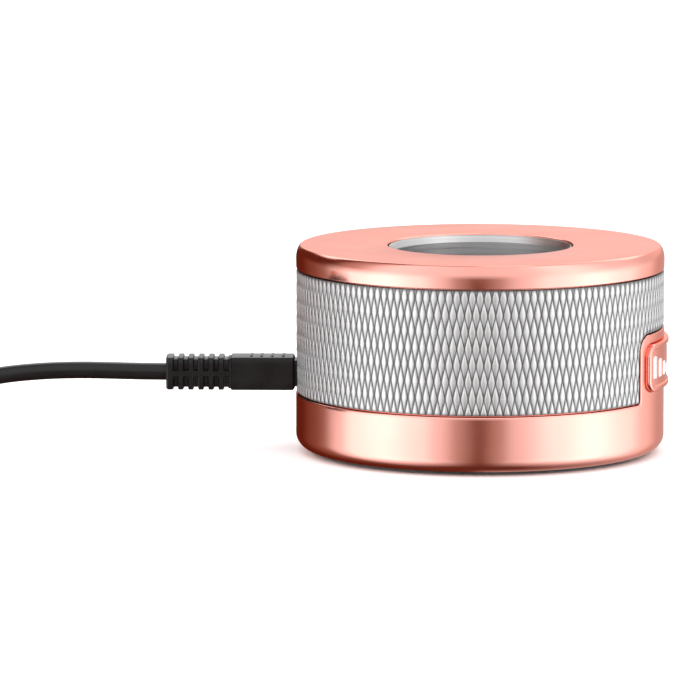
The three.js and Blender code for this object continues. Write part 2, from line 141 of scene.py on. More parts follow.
def coil_place(share):
    """Radius and height of the winding, from its start, 0, to its end, 1."""
    step = share * COLUMNS * LAYERS
    slot = min(int(step), COLUMNS * LAYERS - 1)
    places = []
    for number in (slot, min(slot + 1, COLUMNS * LAYERS - 1)):
        layer, column = divmod(number, COLUMNS)
        column = COLUMNS - 1 - column if layer % 2 == 0 else column
        places.append((INNER_TURN_R + column * LEAD_D, FIRST_Z + layer * LEAD_D))
    late = max(0.0, (step - slot - STEP_OVER_FROM) / (1 - STEP_OVER_FROM))
    ease = late * late * (3 - 2 * late)
    return [a + (b - a) * ease for a, b in zip(*places)]


knots = int(TURNS * KNOTS_PER_TURN)
coil = []
for i in range(knots + 1):
    angle = START_ANGLE + i / knots * TURNS * math.tau
    radius, height = coil_place(i / knots)
    coil.append((COIL_CENTRE[0] + radius * math.cos(angle),
                 COIL_CENTRE[1] + radius * math.sin(angle), height))
LEAD_TAIL = [(27.8, 193, 15.6), (27.8, 199, 15.4), (27.8, 205, 15.3), (27.8, 210, 15.3)]
print("coil ends at", [round(v, 1) for v in coil[-1]])


# %% Draw the lead as one smooth curve
def smooth_line(knots, steps=4):
    """A Catmull-Rom curve through the knots."""
    p = np.array([knots[0], *knots, knots[-1]], float)
    t = np.linspace(0, 1, steps, endpoint=False)[:, None]
    line = []
    for a, b, c, d in zip(p, p[1:], p[2:], p[3:]):
        square, cube = 2 * a - 5 * b + 4 * c - d, 3 * b - a - 3 * c + d
        line.append(0.5 * (2 * b + (c - a) * t + square * t**2 + cube * t**3))
    return np.vstack([*line, p[-1:]])


def cord_curve(name, line, thickness):
    """A round cord along a line in millimetres. Each point's radius carries the thickness."""
    data = bpy.data.curves.new(name, "CURVE")
    data.dimensions = "3D"
    data.bevel_depth = 1
    data.bevel_resolution = 5
    data.use_fill_caps = True
    spline = data.splines.new("POLY")
    spline.points.add(len(line) - 1)
    spline.points.foreach_set("co", np.c_[line * MM, np.ones(len(line))].ravel())
    spline.points.foreach_set("radius", np.full(len(line), thickness / 2 * MM))
    spline.use_smooth = True
    piece = bpy.data.objects.new(name, data)
    bpy.context.scene.collection.objects.link(piece)
    return piece


lead_line = smooth_line(LEAD_RUN + coil[1:] + LEAD_TAIL)
lead = cord_curve("lead", lead_line, LEAD_D)

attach(lead, "plug")
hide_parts("cord_lead", "cord_coil")

# %% [markdown]
# ## Finishes
# Each finish is a small tree of nodes. The flat numbers of a metal or a plastic sit on the
# shader itself, and a few noises add what no real surface is without: a slightly uneven gloss,
# a grain, or the fine rings that a brush leaves. Procedural noise is used in place of images,
# so it has no seams and no size limit.


# %% A helper that builds a finish
NOISE_RANGE = (0.3, 0.7)


class Finish:
    """A Principled shader and short ways to add noise to it."""

    def __init__(self, name, colour, metallic=0.0, roughness=0.5, **sockets):
        self.material = bpy.data.materials.new(name)
        self.material.use_nodes = True
        self.tree = self.material.node_tree
        self.shader = self.tree.nodes["Principled BSDF"]
        self.shader.inputs["Base Color"].default_value = (*colour, 1)
        self.shader.inputs["Metallic"].default_value = metallic
        self.shader.inputs["Roughness"].default_value = roughness
        for socket, value in sockets.items():
            self.shader.inputs[socket.replace("_", " ")].default_value = value
        self.place = self.node("ShaderNodeTexCoord").outputs["Object"]
        self.last_bump = None
        print("finish:", name)

    def node(self, kind, **values):
        made = self.tree.nodes.new(kind)
        for name, value in values.items():
            if name in made.inputs:
                made.inputs[name].default_value = value
            else:
                setattr(made, name, value)
        return made

    def join(self, out, into):
        self.tree.links.new(out, into)

    def noise(self, scale, detail=3.0, stretch=(1, 1, 1)):
        mapping = self.node("ShaderNodeMapping", Scale=stretch)
        noise = self.node("ShaderNodeTexNoise", Scale=scale, Detail=detail)
        self.join(self.place, mapping.inputs["Vector"])
        self.join(mapping.outputs["Vector"], noise.inputs["Vector"])
        return noise.outputs["Fac"]

    def rescale(self, signal, old_range, new_range=(0.0, 1.0)):
        """Maps one range of values onto another, and stops at its ends."""
        span = self.node("ShaderNodeMapRange")
        sockets = ("From Min", "From Max", "To Min", "To Max")
        for socket, value in zip(sockets, (*old_range, *new_range)):
            span.inputs[socket].default_value = value
        self.join(signal, span.inputs["Value"])
        return span.outputs["Result"]

    def spread(self, signal, lowest, highest):
        """A noise, which stays near 0.5, stretched over a range of values."""
        return self.rescale(signal, NOISE_RANGE, (lowest, highest))

    def uneven_gloss(self, signal, lowest, highest):
        self.join(self.spread(signal, lowest, highest), self.shader.inputs["Roughness"])

    def two_tones(self, signal, first, second):
        mix = self.node("ShaderNodeMix", data_type="RGBA")
        mix.inputs[6].default_value = (*first, 1)
        mix.inputs[7].default_value = (*second, 1)
        self.join(self.spread(signal, 0, 1), mix.inputs[0])
        self.join(mix.outputs[2], self.shader.inputs["Base Color"])

    def painted_groove_shade(self, lowest, highest, tones):
        """Grey by distance from the base's axis: painted shade, dark deep in the knurl and light on
        its crests.
        """
        flat = self.node("ShaderNodeVectorMath", operation="MULTIPLY")
        flat.inputs[1].default_value = (1, 1, 0)
        self.join(self.place, flat.inputs[0])
        length = self.node("ShaderNodeVectorMath", operation="LENGTH")
        self.join(flat.outputs[0], length.inputs[0])
        share = self.rescale(length.outputs["Value"], (lowest * MM, highest * MM))
        ramp = self.node("ShaderNodeValToRGB")
        stops = ramp.color_ramp.elements
        while len(stops) < len(tones):
            stops.new(0.5)
        for stop, (at, tone) in zip(stops, tones):
            stop.position, stop.color = at, (tone, tone, tone * 1.01, 1)
        self.join(share, ramp.inputs["Fac"])
        self.join(ramp.outputs["Color"], self.shader.inputs["Base Color"])

    def bump(self, signal, height, strength=1.0):
        bump = self.node("ShaderNodeBump", Strength=strength, Distance=height * MM)
        self.join(signal, bump.inputs["Height"])
        if self.last_bump:
            self.join(self.last_bump, bump.inputs["Normal"])
        self.last_bump = bump.outputs["Normal"]
        self.join(self.last_bump, self.shader.inputs["Normal"])


# %% [markdown]
# The cap and body are steel with a polished rose gold plating: a warm metal whose gloss drifts
# a little from hand polishing, under a very thin clear lacquer. It could be a plain pink metal,
# but then the base looks like painted plastic. The lacquer is a faint coat on the shader, and a
# tint on the metal's edges keeps its grazing reflections warm.

# %% Rose gold
rose_gold = Finish("rose_gold", (0.88, 0.41, 0.35), metallic=1, roughness=0.18, Coat_Weight=0.06,
                   Coat_Roughness=0.1, Specular_Tint=(1.0, 0.62, 0.54, 1))
rose_gold.uneven_gloss(rose_gold.noise(90, detail=4), 0.14, 0.2)
rose_gold.two_tones(rose_gold.noise(25, detail=2), (0.89, 0.42, 0.36), (0.86, 0.39, 0.33))
rose_gold.bump(rose_gold.noise(2500, detail=2, stretch=(1, 1, 0.15)), 0.004, 0.5)

# %% [markdown]
# The grip band is bright silver, and the cup is bare steel, spun on a lathe with an abrasive
# pad. The pad leaves rings, so the noise is squeezed: slow across X and Y, and very fast up Z.
# The band takes its grey from the distance to the axis: its grooves are painted dark as painted
# shade, and its crests stay light. A painted map could do this too, but the distance always fits
# the real pads.

# %% Silver and brushed steel
silver = Finish("silver_knurl", (0.5, 0.5, 0.51), metallic=0.6, roughness=0.3)
silver.uneven_gloss(silver.noise(300, detail=4), 0.24, 0.36)
silver.bump(silver.noise(2500, detail=3), 0.012, 0.7)
GROOVE_R, CREST_R = 44.66, 44.98
# painted shade: the knurl's grooves get a near-black base colour and its crests a light grey
silver.painted_groove_shade(
    GROOVE_R, CREST_R, [(0.0, 0.05), (0.3, 0.17), (0.55, 0.38), (0.8, 0.6), (1.0, 0.72)])

steel = Finish("brushed_steel", (0.5, 0.5, 0.51), metallic=1, roughness=0.34)
steel.uneven_gloss(steel.noise(40, detail=5, stretch=(1, 1, 60)), 0.28, 0.46)
steel.two_tones(steel.noise(30, detail=4, stretch=(1, 1, 90)), (0.46, 0.46, 0.47), (0.6, 0.6, 0.6))
steel.bump(steel.noise(60, detail=4, stretch=(1, 1, 80)), 0.02, 0.6)

# %% [markdown]
# The black parts are three different blacks: the lead's soft PVC with a dull shine, the grained
# plastic of the mouldings, and the matte rubber of the feet.

# %% Blacks
jacket = Finish("cord_black", (0.005, 0.005, 0.0055), roughness=0.28, Specular_IOR_Level=0.35)
jacket.uneven_gloss(jacket.noise(220, detail=4), 0.24, 0.34)
jacket.bump(jacket.noise(900, detail=3), 0.015, 0.25)

moulding = Finish("black_plastic", (0.014, 0.014, 0.015), roughness=0.45)
moulding.uneven_gloss(moulding.noise(160, detail=4), 0.4, 0.52)
moulding.bump(moulding.noise(1800, detail=2), 0.03, 0.5)

rubber = Finish("black_rubber", (0.016, 0.016, 0.016), roughness=0.8)
rubber.two_tones(rubber.noise(120, detail=5), (0.013, 0.013, 0.013), (0.026, 0.025, 0.024))
rubber.bump(rubber.noise(700, detail=5), 0.06, 0.7)

# %% [markdown]
# Contacts, screws, windings and boards are small, and most are hidden inside. A plain grey
# would do at a distance. They still get their own metals, since anyone who opens the part will
# see them.

# %% Small metals and the circuit boards
gold = Finish("contact_metal", (0.86, 0.62, 0.26), metallic=1, roughness=0.2)
gold.uneven_gloss(gold.noise(500, detail=3), 0.15, 0.3)
gold.bump(gold.noise(3000, detail=2), 0.004, 0.5)

nickel = Finish("screw_steel", (0.62, 0.62, 0.64), metallic=1, roughness=0.28)
nickel.uneven_gloss(nickel.noise(400, detail=4), 0.2, 0.38)
nickel.bump(nickel.noise(2500, detail=2), 0.005, 0.5)

copper = Finish("copper", (0.62, 0.22, 0.08), metallic=0.8, roughness=0.35)
copper.uneven_gloss(copper.noise(120, detail=4, stretch=(1, 1, 30)), 0.25, 0.5)
copper.bump(copper.noise(100, detail=2, stretch=(1, 1, 25)), 0.15, 0.8)

board_green = Finish("circuit_board", (0.02, 0.14, 0.06), roughness=0.35)
board_green.two_tones(board_green.noise(400, detail=1), (0.015, 0.11, 0.045), (0.03, 0.19, 0.08))
board_green.bump(board_green.noise(300, detail=1), 0.03, 0.6)

red_sleeve = Finish("red_wire", (0.45, 0.02, 0.02), roughness=0.4)
red_sleeve.bump(red_sleeve.noise(1500, detail=2), 0.01, 0.4)
red_sleeve.uneven_gloss(red_sleeve.noise(500), 0.35, 0.5)

FINISHES = {
    "rose_gold": rose_gold, "silver_knurl": silver, "brushed_steel": steel,
    "black_plastic": moulding, "adapter_plastic": moulding, "black_rubber": rubber,
    "cord_black": jacket, "black_wire": jacket, "red_wire": red_sleeve,
    "contact_metal": gold, "screw_steel": nickel, "copper": copper, "circuit_board": board_green,
}
lead.data.materials.append(jacket.material)
print("slots with a finish:", len(FINISHES))

# %% [markdown]
# Most of the base's inside is never seen, so its CAD solids stay as they are and only take
# their finish. Each solid could be given its finish by hand, but the record already says which
# belongs to which, and a loop over it forgets none.

# %% Give every CAD solid its finish
for entry in frame["record"]["subparts"]:
    node = frame["nodes"][entry["node"]]
    node.data.materials.clear()
    node.data.materials.append(FINISHES[entry["material_slot"]].material)


# %% [markdown]
# ## Turned pieces
# The cap, the cup and the body are all turned on one axis. A turned piece is drawn as half of
# its cross-section, whose corners are then rounded as a lathe tool or a buffing wheel would,
# and swept round. Blender's Screw modifier could do the sweep, but a few lines of code give
# exact points and leave no modifier behind.

# %% Round the corners of a cross-section
def soften(corners, steps=5):
    """Each corner is (x, y, radius of its rounding). Returns the rounded closed outline."""
    outline = []
    for i, (x, y, radius) in enumerate(corners):
        here = np.array([x, y], float)
        if radius <= 0:
            outline.append(here)
            continue
        before = np.array(corners[i - 1][:2]) - here
        after = np.array(corners[(i + 1) % len(corners)][:2]) - here
        u, v = before / np.linalg.norm(before), after / np.linalg.norm(after)
        half = math.acos(max(-1, min(1, u @ v))) / 2
        middle = here + (u + v) / np.linalg.norm(u + v) * radius / math.sin(half)
        start, end = here + u * radius / math.tan(half), here + v * radius / math.tan(half)
        for k in range(steps + 1):
            arm = (start - middle) * (1 - k / steps) + (end - middle) * (k / steps)
            outline.append(middle + arm / np.linalg.norm(arm) * radius)
    return np.array(outline)


# %% Join rings of points with faces
def wall(rings, count, closed=False):
    """Faces between neighbouring rings of points. Closed joins the last ring to the first."""
    faces = []
    for a in range(rings if closed else rings - 1):
        b = (a + 1) % rings
        for i in range(count):
            j = (i + 1) % count
            faces.append((a * count + i, a * count + j, b * count + j, b * count + i))
    return faces


def tube_faces(rings, count):
    """The wall of a tube and its two ends."""
    last = (rings - 1) * count
    return wall(rings, count) + [tuple(range(count)), tuple(range(last, last + count))]


def turned(outline, sides=192):
    """Points and faces of a closed outline of (radius, height) swept round Z."""
    angles = np.arange(sides) * math.tau / sides
    r, z = outline[:, 0], outline[:, 1]
    x, y = np.outer(np.cos(angles), r), np.outer(np.sin(angles), r)
    points = np.stack([x, y, np.tile(z, (sides, 1))], -1)
    return points.reshape(-1, 3), wall(sides, len(outline), closed=True)


# %% Put a piece in the scene
def tidy_mesh(mesh):
    """Merges double points, drops faces without an area and turns every face outward."""
    work = bmesh.new()
    work.from_mesh(mesh)
    bmesh.ops.remove_doubles(work, verts=work.verts, dist=1e-6)
    bmesh.ops.dissolve_degenerate(work, edges=work.edges, dist=1e-7)
    bmesh.ops.recalc_face_normals(work, faces=work.faces)
    work.to_mesh(mesh)
    work.free()


def place_piece(name, points, faces, slot, body, stands_for=(), sharp=38, tidy=True):
    """A mesh in millimetres becomes a named piece with its finish."""
    mesh = bpy.data.meshes.new(name)
    mesh.from_pydata((np.asarray(points) * MM).tolist(), [], faces)
    if tidy:
        tidy_mesh(mesh)
    mesh.shade_smooth()
    mesh.set_sharp_from_angle(angle=math.radians(sharp))
    mesh.materials.append(FINISHES[slot].material)
    piece = bpy.data.objects.new(name, mesh)
    bpy.context.scene.collection.objects.link(piece)
    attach(piece, body)
    if stands_for:
        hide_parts(*stands_for)
    print("%s: %d faces" % (name, len(mesh.polygons)))
    return piece


def joined(*shapes):
    """Several (points, faces) as one."""
    points, faces, start = [], [], 0
    for some_points, some_faces in shapes:
        points.append(some_points)
        faces += [tuple(start + i for i in face) for face in some_faces]
        start += len(some_points)
    return np.vstack(points), faces


# %% A box with rounded edges
def rounded_box(lowest, highest, upright, flat_top=0.0, flat_bottom=0.0):
    """A box whose upright edges, and its top and bottom rims, are rounded by these radii."""
    lowest, highest = np.array(lowest, float), np.array(highest, float)
    size, middle = highest - lowest, (highest + lowest) / 2
    work = bmesh.new()

    def round_off(edges, radius, segments):
        if radius > 0:
            bmesh.ops.bevel(
                work, geom=edges, offset=radius, segments=segments, profile=0.5, affect="EDGES")

    bmesh.ops.create_cube(work, size=1)
    bmesh.ops.scale(work, vec=size, verts=work.verts)
    bmesh.ops.translate(work, vec=middle, verts=work.verts)
    standing = [e for e in work.edges if abs(e.verts[0].co.z - e.verts[1].co.z) > 1e-6]
    round_off(standing, upright, 8)
    for level, radius in ((highest[2], flat_top), (lowest[2], flat_bottom)):
        rim = [e for e in work.edges if all(abs(v.co.z - level) < 1e-6 for v in e.verts)]
        round_off(rim, radius, 6)
    work.verts.index_update()
    points = np.array([v.co for v in work.verts])
    faces = [tuple(v.index for v in f.verts) for f in work.faces]
    work.free()
    return points, faces


# %% [markdown]
# The cap is a flat ring with a broad rounded rim. Its skirt hides the top of the grip band, and
# the hole's lip is only broken with a fine chamfer, so it draws a thin bright line.

# %% Cap
CAP_UNDERSIDE = 49
CAP_BOSS_LOW, CAP_BOSS_INNER_R, CAP_BOSS_OUTER_R = 42, 26, 31
SKIRT_R = 43.8
SHOULDER_ACROSS, SHOULDER_UP, SHOULDER_DOWN_TO = 1.9, 3.6, 3.26
shoulder = [(OUTER_R - SHOULDER_ACROSS * (1 - math.cos(t)),
             TOP - SHOULDER_DOWN_TO + SHOULDER_UP * math.sin(t), 0)
            for t in np.radians(np.arange(0, 61, 4))]
cap_outline = soften([
    (HOLE_R, CAP_UNDERSIDE, 0.15), (CAP_BOSS_INNER_R, CAP_UNDERSIDE, 0),
    (CAP_BOSS_INNER_R, CAP_BOSS_LOW, 0), (CAP_BOSS_OUTER_R, CAP_BOSS_LOW, 0),
    (CAP_BOSS_OUTER_R, CAP_UNDERSIDE, 0), (SKIRT_R, CAP_UNDERSIDE, 0),
    (SKIRT_R, CAP_BOTTOM, 0.12), (OUTER_R - 0.05, CAP_BOTTOM, 0.3), *shoulder,
    (SKIRT_R + 0.05, TOP, 0.22), (HOLE_R, TOP, 0.35),
], steps=8)
place_piece("cap", *turned(cap_outline, 256), "rose_gold", "base", ["top_cap"])

# %% [markdown]
# The cup is drawn from one sheet of steel, so its mouth flares a little and its floor meets the
# wall in a soft corner. The middle of the floor is open for the contact block.

# %% Steel cup
CUP_OUTER_R, CUP_MOUTH = WELL_R + 1, 50.3
CUP_UNDERSIDE, CUP_FLOOR, FLOOR_HOLE_R = 15.8, 17, 12
cup_outline = soften([
    (FLOOR_HOLE_R, CUP_UNDERSIDE, 0.1), (CUP_OUTER_R, CUP_UNDERSIDE, 0.8),
    (CUP_OUTER_R, CUP_MOUTH, 0.2), (WELL_R + 0.8, CUP_MOUTH, 0.1), (WELL_R, 48.7, 0.4),
    (WELL_R, CUP_FLOOR, 0.8), (FLOOR_HOLE_R, CUP_FLOOR, 0.25),
], steps=6)
place_piece("steel_cup", *turned(cup_outline, 192), "brushed_steel", "base", ["well_cup"])


# %% [markdown]
# ## Skins drawn by distance
# The body and the band are thin skins round a drum, with windows and round-cornered cut-outs.
# Cutting such holes with boolean operations leaves ragged triangles that show in a polished
# surface. Here the skin is a fine net of points instead, and a distance function says how far
# each point is from the edge of the metal. Cells outside it are dropped, the points next to the
# edge are slid exactly onto it, and rounded lips are then grown from that edge down to the
# drum.

# %% Distances on the drum
def across(angle):
    """Sideways distance from the middle of the front, seen flat on; very large on the far half."""
    inside = np.clip(angle, -math.pi / 2, math.pi / 2)
    return OUTER_R * np.sin(inside) + OUTER_R * (angle - inside)


def to_round_rectangle(x, z, half_width, z_low, z_high, corner):
    """Distance to a rectangle with round corners; negative inside."""
    dx = np.abs(x) - half_width + corner
    dz = np.abs(z - (z_low + z_high) / 2) - (z_high - z_low) / 2 + corner
    outside = np.hypot(np.maximum(dx, 0), np.maximum(dz, 0))
    return outside + np.minimum(np.maximum(dx, dz), 0) - corner


def soft_union(a, b, blend):
    """The nearer of two distances, with the inner corner between them filled by a small curve."""
    near = np.maximum(blend - np.abs(a - b), 0) / blend
    return np.minimum(a, b) - near * near * blend / 4


# %% Outlines of the panel, the badge and the inlet's window
PANEL_HALF, PANEL_FOOT, PANEL_TOP, PANEL_CORNER = 22.8, 4.4, 30.9, 4.0
BADGE_HALF, BADGE_LOW, BADGE_HIGH, BADGE_CORNER = 20.3, 16.9, 28.5, 3.0
WINDOW_HALF, WINDOW_CORNER = 4.6, 0.4
SEAM, BADGE_SEAM = 0.3, 0.06


def panel_edge(angle, z, grow=0.0):
    return to_round_rectangle(across(angle), z, PANEL_HALF + grow, PANEL_FOOT, PANEL_TOP + grow,
                              PANEL_CORNER + grow)


def badge_edge(angle, z, grow=0.0):
    return to_round_rectangle(across(angle), z, BADGE_HALF + grow, BADGE_LOW - grow,
                              BADGE_HIGH + grow, BADGE_CORNER + grow)


def inlet_edge(angle, z):
    behind = np.mod(angle, math.tau) - math.pi
    return to_round_rectangle(across(behind), z, WINDOW_HALF, PLUG_Z - WINDOW_HALF,
                              PLUG_Z + WINDOW_HALF, WINDOW_CORNER)


print("panel %.1f mm wide, badge %.1f mm wide" % (2 * PANEL_HALF, 2 * BADGE_HALF))


# %% Grow a skin with rounded lips
def on_drum(radius, angle, z):
    """Places on the drum as points in space. Angle 0 is the front."""
    return np.stack([radius * np.sin(angle), -radius * np.cos(angle), z], -1)


def skin(spots, cells, middles, edge, surface, lip, inner_r, free_below=-1e9):
    """
    A net of spots (angle, z) and cells, cut along an edge and rounded there.

    edge(angle, z) is the distance to the metal's edge and surface(angle, z) its radius. Each cell's
    middle decides if it is kept. The edge has no lip below free_below.
    """
    spots = np.array(spots, float)
    kept = [cell for cell, at in zip(cells, edge(middles[:, 0], middles[:, 1])) if at < -lip]
    sides = {}
    for cell in kept:
        for i, j in zip(cell, cell[1:] + cell[:1]):
            sides[(i, j)] = True
    rim = [(i, j) for i, j in sides if (j, i) not in sides]
    rim = [(i, j) for i, j in rim if max(spots[i, 1], spots[j, 1]) > free_below]
    on_rim = sorted({i for pair in rim for i in pair})

    def slide(where, level):
        """Moves points along the edge function's slope until it reads this level."""
        where = where.copy()
        tiny = 1e-3
        for _ in range(6):
            value = edge(where[:, 0], where[:, 1]) - level
            slope_a = (edge(where[:, 0] + tiny / OUTER_R, where[:, 1]) - value - level) / tiny
            slope_z = (edge(where[:, 0], where[:, 1] + tiny) - value - level) / tiny
            size = np.maximum(slope_a**2 + slope_z**2, 0.2)
            where[:, 0] -= value * slope_a / size / OUTER_R
            where[:, 1] -= value * slope_z / size
        return where

    spots[on_rim] = slide(spots[on_rim], -lip)
    radius = surface(spots[:, 0], spots[:, 1])
    used = sorted({i for cell in kept for i in cell})
    number = {old: new for new, old in enumerate(used)}
    a, z = spots[used, 0], spots[used, 1]
    layers = [on_drum(radius[used], a, z)]
    faces = [tuple(number[i] for i in cell) for cell in kept]
    ring = {old: number[old] for old in on_rim}
    start, where, rim_radius = len(used), spots[on_rim], radius[on_rim]
    for turn in (30, 60, 90, None):
        if turn is None:
            r = np.full(len(on_rim), inner_r)
        else:
            where = slide(where, -lip * (1 - math.sin(math.radians(turn))))
            r = rim_radius - lip * (1 - math.cos(math.radians(turn)))
        layers.append(on_drum(r, where[:, 0], where[:, 1]))
        next_ring = {old: start + k for k, old in enumerate(on_rim)}
        faces += [(ring[j], ring[i], next_ring[i], next_ring[j]) for i, j in rim]
        ring, start = next_ring, start + len(on_rim)
    return np.vstack(layers), faces


def net(columns, z_levels, first=-math.pi, last=math.pi):
    """A rectangular net on the drum; a full turn closes on itself."""
    closed = last - first > 6.28
    count = columns if closed else columns + 1
    angles = first + (last - first) * np.arange(count) / columns
    spots = np.array([(a, z) for z in z_levels for a in angles])
    cells, middles = [], []
    for row in range(len(z_levels) - 1):
        for i in range(columns):
            j = (i + 1) % count
            below, above = row * count, (row + 1) * count
            cells.append((below + i, below + j, above + j, above + i))
            middles.append((first + (last - first) * (i + 0.5) / columns,
                            (z_levels[row] + z_levels[row + 1]) / 2))
    return spots, cells, np.array(middles)


# %% [markdown]
# The body is one shape: a low rounded tub, and a panel that rises from it at the front to carry
# the badge. Inside the skin is a turned drum, which the grip band is wrapped round.

# %% Body with its front panel
LIP = 0.28


def body_edge(angle, z):
    outside = soft_union(z - SHELL_SHOULDER, panel_edge(angle, z), 0.8)
    return np.maximum(outside, -badge_edge(angle, z, BADGE_SEAM))


def flat_surface(angle, z):
    return np.full_like(angle, OUTER_R)


SKIN_FOOT = 4.5
levels = np.concatenate([[SKIN_FOOT], np.linspace(5.5, 31.5, 53)])
body_skin = skin(*net(480, levels), body_edge, flat_surface, LIP, SLEEVE_R - 0.1,
                 free_below=SKIN_FOOT + 0.1)
print("body skin: %d points" % len(body_skin[0]))

# %% Cross-section of the drum inside
RIM_ROUNDING = 3.7
PLATE_R, PLATE_TOP, LEDGE_R, LEDGE_TOP = 41.3, 3.5, 38.5, 5.5
SLEEVE_INNER_R, SLEEVE_TOP = 42, 46.5
drum_outline = soften([
    (SLEEVE_R - 0.1, SKIN_FOOT, 0), (OUTER_R, SKIN_FOOT, 0), (OUTER_R, SHELL_LOW, RIM_ROUNDING),
    (PLATE_R, SHELL_LOW, 0), (PLATE_R, PLATE_TOP, 0), (LEDGE_R, PLATE_TOP, 0),
    (LEDGE_R, LEDGE_TOP, 0), (SLEEVE_INNER_R, LEDGE_TOP, 0), (SLEEVE_INNER_R, SLEEVE_TOP, 0.2),
    (SLEEVE_R, SLEEVE_TOP, 0.2), (SLEEVE_R, 8, 0),
], steps=12)
print("drum outline: %d points" % len(drum_outline))


# %% Cut the inlet's window through the drum, and join skin and drum
def cut_box(shape, lowest, highest):
    """Takes a box out of a closed (points, faces) shape."""
    objects = []
    cube = rounded_box(lowest, highest, 0)
    for name, (points, faces) in (("whole", shape), ("cutter", cube)):
        mesh = bpy.data.meshes.new(name)
        mesh.from_pydata(np.asarray(points).tolist(), [], faces)
        tidy_mesh(mesh)
        objects.append(bpy.data.objects.new(name, mesh))
        bpy.context.scene.collection.objects.link(objects[-1])
    boolean = objects[0].modifiers.new("window", "BOOLEAN")
    boolean.object, boolean.operation, boolean.solver = objects[1], "DIFFERENCE", "EXACT"
    evaluated = objects[0].evaluated_get(bpy.context.evaluated_depsgraph_get())
    result = bpy.data.meshes.new_from_object(evaluated)
    for thing in objects:
        bpy.data.objects.remove(thing)
    points = np.array([v.co for v in result.vertices])
    return points, [tuple(f.vertices) for f in result.polygons]


CUT_FROM_Y, CUT_TO_Y = 38, 50
drum = cut_box(turned(drum_outline, 240), (-WINDOW_HALF, CUT_FROM_Y, PLUG_Z - WINDOW_HALF),
               (WINDOW_HALF, CUT_TO_Y, PLUG_Z + WINDOW_HALF))
place_piece("body_shell", *joined(body_skin, drum), "rose_gold", "base", ["lower_shell"],
            tidy=False)

# %% [markdown]
# ## The knurled band
# The band is pressed from thin sheet between rollers, which raise rows of tall lens-shaped
# pads, staggered like bricks. A bump map would flatten at the rim of the drum, where the pads
# make a fine saw edge, so the pads are real. The net follows the pads' own slanted grooves:
# each pad is eight cells by eight, and every groove falls exactly on a line of points.

# %% Pads round the band
PADS_ROUND, CELLS_PER_PAD = 152, 8
PAD_TALL, PAD_HEIGHT = 8.0, 0.32
rows = int(round((BAND_HIGH - BAND_LOW) / PAD_TALL * CELLS_PER_PAD))
row_height = (BAND_HIGH - BAND_LOW) / rows
columns = PADS_ROUND * CELLS_PER_PAD
step = math.tau / columns


def slanted_net():
    """Points at the corners and middles of a rectangular grid, joined into upright diamonds."""
    low_row = [(-math.pi + i * step, BAND_LOW + j * row_height)
               for j in range(rows + 1) for i in range(columns)]
    mid_row = [(-math.pi + (i + 0.5) * step, BAND_LOW + (j + 0.5) * row_height)
               for j in range(rows) for i in range(columns)]
    first_mid = len(low_row)
    cells, middles = [], []
    for j in range(rows):
        for i in range(columns):
            row = first_mid + j * columns
            right, left = row + i, row + (i - 1) % columns
            cells.append((j * columns + i, right, (j + 1) * columns + i, left))
            middles.append((-math.pi + i * step, BAND_LOW + (j + 0.5) * row_height))
    for j in range(rows + 1):
        for i in range(columns):
            corners = [first_mid + (j - 1) * columns + i] if j > 0 else []
            corners.append(j * columns + (i + 1) % columns)
            corners += [first_mid + j * columns + i] if j < rows else []
            cells.append(tuple(corners + [j * columns + i]))
            inward = 0.25 * ((j == 0) - (j == rows))
            middles.append((-math.pi + (i + 0.5) * step, BAND_LOW + (j + inward) * row_height))
    return np.array(low_row + mid_row), cells, np.array(middles)


def band_edge(angle, z):
    ends = np.maximum(BAND_LOW - z, z - BAND_HIGH)
    return np.maximum(np.maximum(ends, -panel_edge(angle, z, SEAM)), -inlet_edge(angle, z))


def pads(angle, z):
    """Radius of the band: a leaf-shaped pad in every slanted cell, highest near its top."""
    turn, rise = angle / math.tau * PADS_ROUND, (z - BAND_LOW) / PAD_TALL
    a, b = np.mod(turn + rise + 1e-6, 1), np.mod(turn - rise + 1e-6, 1)
    dome = (1 - np.abs(2 * a - 1) ** 5) * (1 - np.abs(2 * b - 1) ** 5)
    upward = (a + 1 - b) / 2
    fade = np.clip(-band_edge(angle, z) / FADE_AT_EDGE, 0, 1)
    return OUTER_R - PAD_HEIGHT + PAD_HEIGHT * dome * (0.35 + 0.65 * upward) * fade


FADE_AT_EDGE, BAND_LIP = 0.35, 0.1
band_skin = skin(*slanted_net(), band_edge, pads, BAND_LIP, SLEEVE_R + SEAM)
place_piece("knurled_band", *band_skin, "silver_knurl", "base", ["grip_band"], sharp=70,
            tidy=False)


# %% [markdown]
# ## The badge
# A cast plate with a raised rim sits in the front panel. Its mark is a lightning bolt between
# two groups of level bars, which says "charging" in any language. The mark could be laid on as
# separate pieces, but those would float or sink on the curve of the drum. Plate, rim and mark
# are one skin instead, whose height is worked out from distances, in the way that a coin is
# struck.

# %% The mark: a bolt between level bars
BOLT = np.array([(0.9, 3.3), (-2.1, -0.5), (-0.2, -0.5), (-0.9, -3.3), (2.1, 0.5), (0.2, 0.5)])
BAR_HALF_WIDTH, BAR_CORNER = 0.8, 0.35
BARS = [(5.4, 1.2), (9.2, 1.7), (13.0, 2.2), (16.8, 2.7)]
BARS_FOOT = 2.7
BADGE_MIDDLE_Z = (BADGE_LOW + BADGE_HIGH) / 2


def to_polygon(x, z, corners):
    """Distance to a closed polygon; negative inside."""
    nearest, inside = np.full_like(x, 1e9), np.zeros(x.shape, bool)
    for (ax, az), (bx, bz) in zip(corners, np.roll(corners, -1, axis=0)):
        share = ((x - ax) * (bx - ax) + (z - az) * (bz - az)) / ((bx - ax) ** 2 + (bz - az) ** 2)
        share = np.clip(share, 0, 1)
        away = np.hypot(x - ax - share * (bx - ax), z - az - share * (bz - az))
        nearest = np.minimum(nearest, away)
        crosses = (az > z) != (bz > z)
        with np.errstate(divide="ignore", invalid="ignore"):
            inside ^= crosses & (x < (bx - ax) * (z - az) / (bz - az) + ax)
    return np.where(inside, -nearest, nearest)


